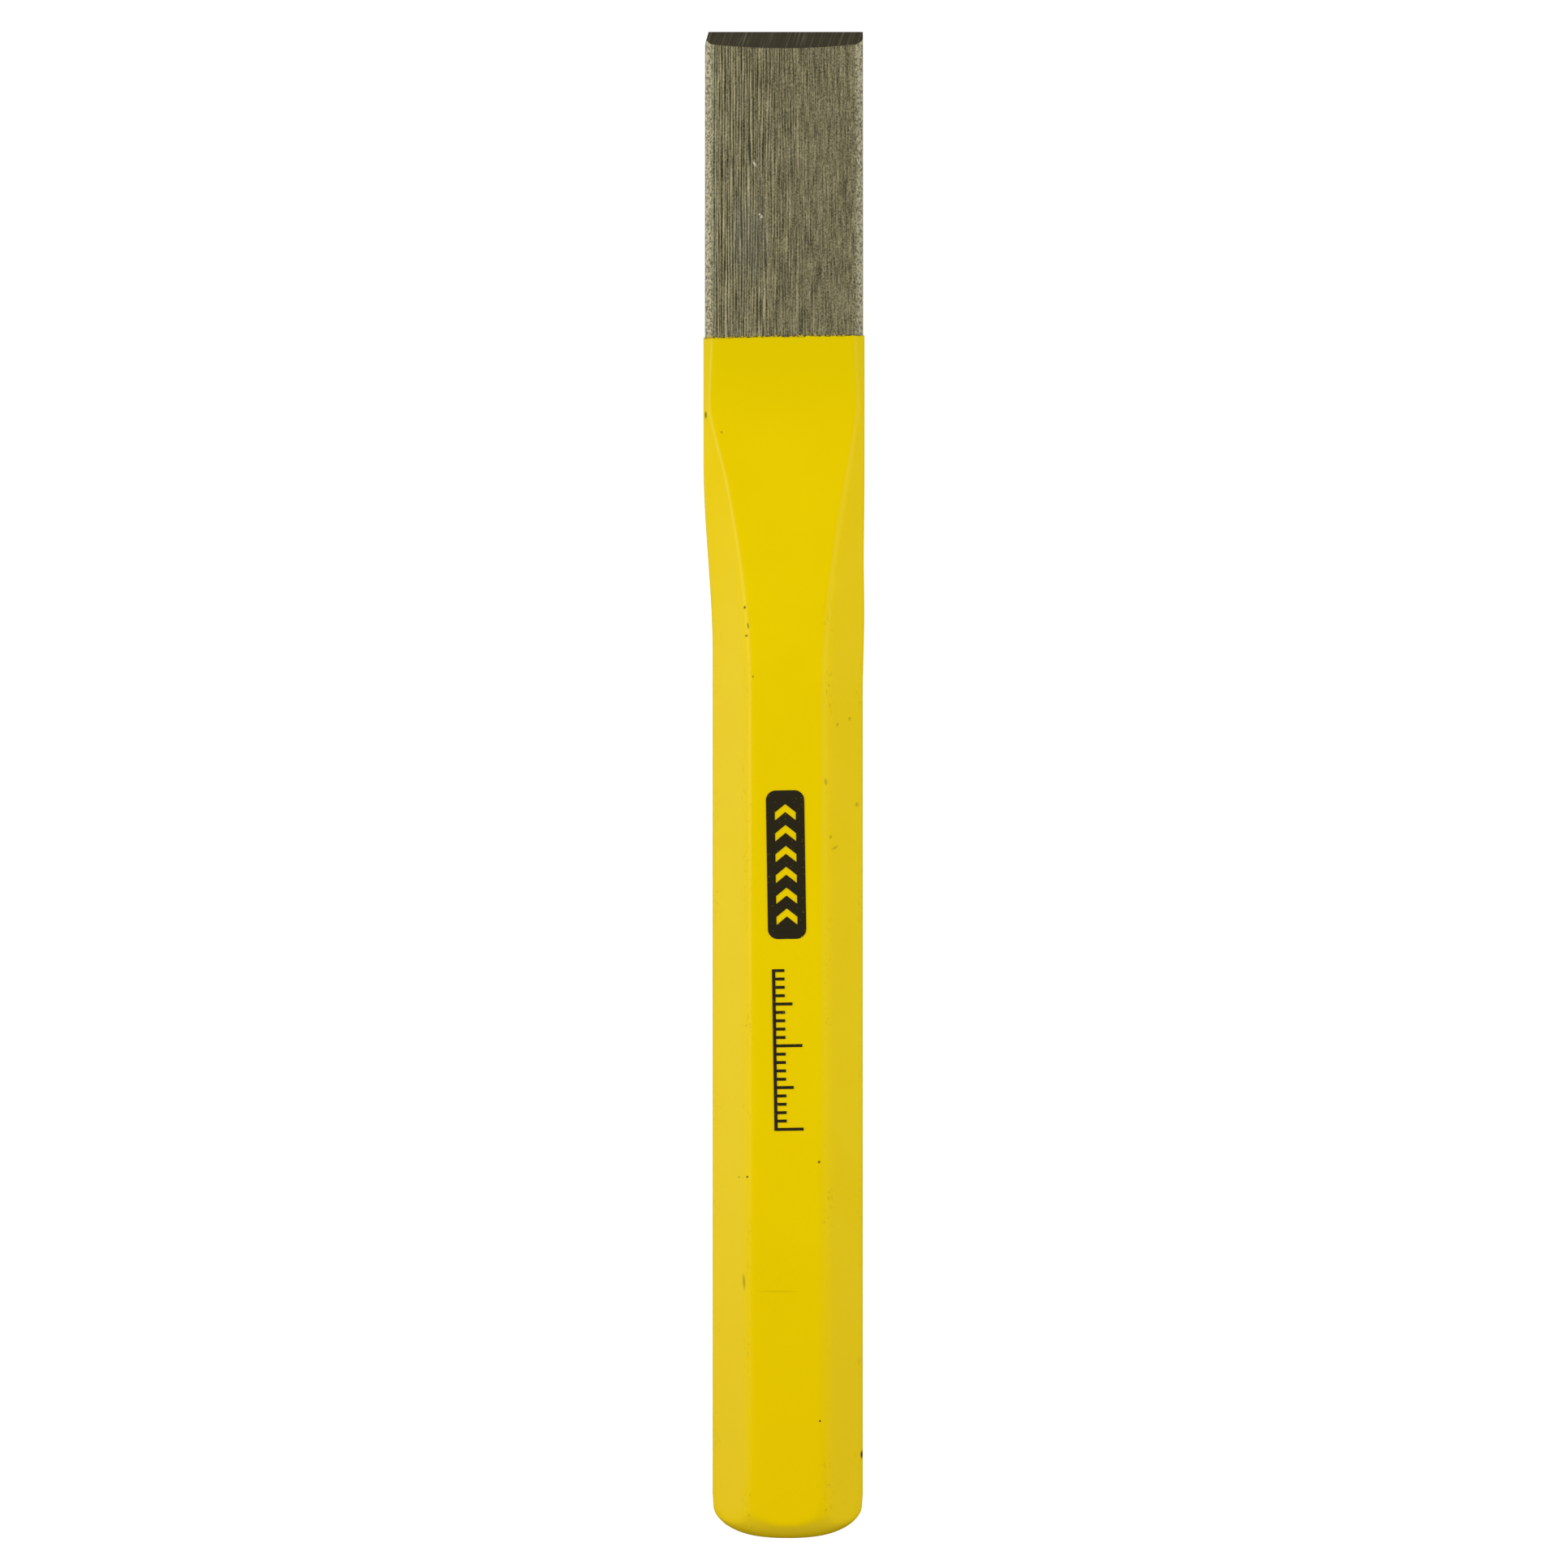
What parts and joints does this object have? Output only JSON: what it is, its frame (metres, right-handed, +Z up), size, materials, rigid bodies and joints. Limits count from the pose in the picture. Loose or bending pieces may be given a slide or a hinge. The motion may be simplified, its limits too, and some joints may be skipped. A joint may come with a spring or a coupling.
{
  "type": "cold chisel",
  "caption": "Cold chisel forged from hexagonal bar, with a wide ground blade, a double-bevel cutting edge and yellow lacquer from shoulder to struck head.",
  "frame": {"origin": "centre of the bounding box in X and Y, at its bottom in Z: the surface that the tool lies on", "axes": "+Y along the tool towards the cutting edge, +X across the blade's width, +Z up from the flat of the shank that the tool lies on"},
  "size_m": [0.0194, 0.1816, 0.0163],
  "materials": {
    "ground_steel": "satin",
    "yellow_lacquer": "satin",
    "black_ink": "matte"
  },
  "bodies": {
    "root": {"chisel_forging": "ground_steel", "lacquer_coat": "yellow_lacquer", "printed_block": "black_ink", "printed_scale": "black_ink"}
  },
  "joints": []
}
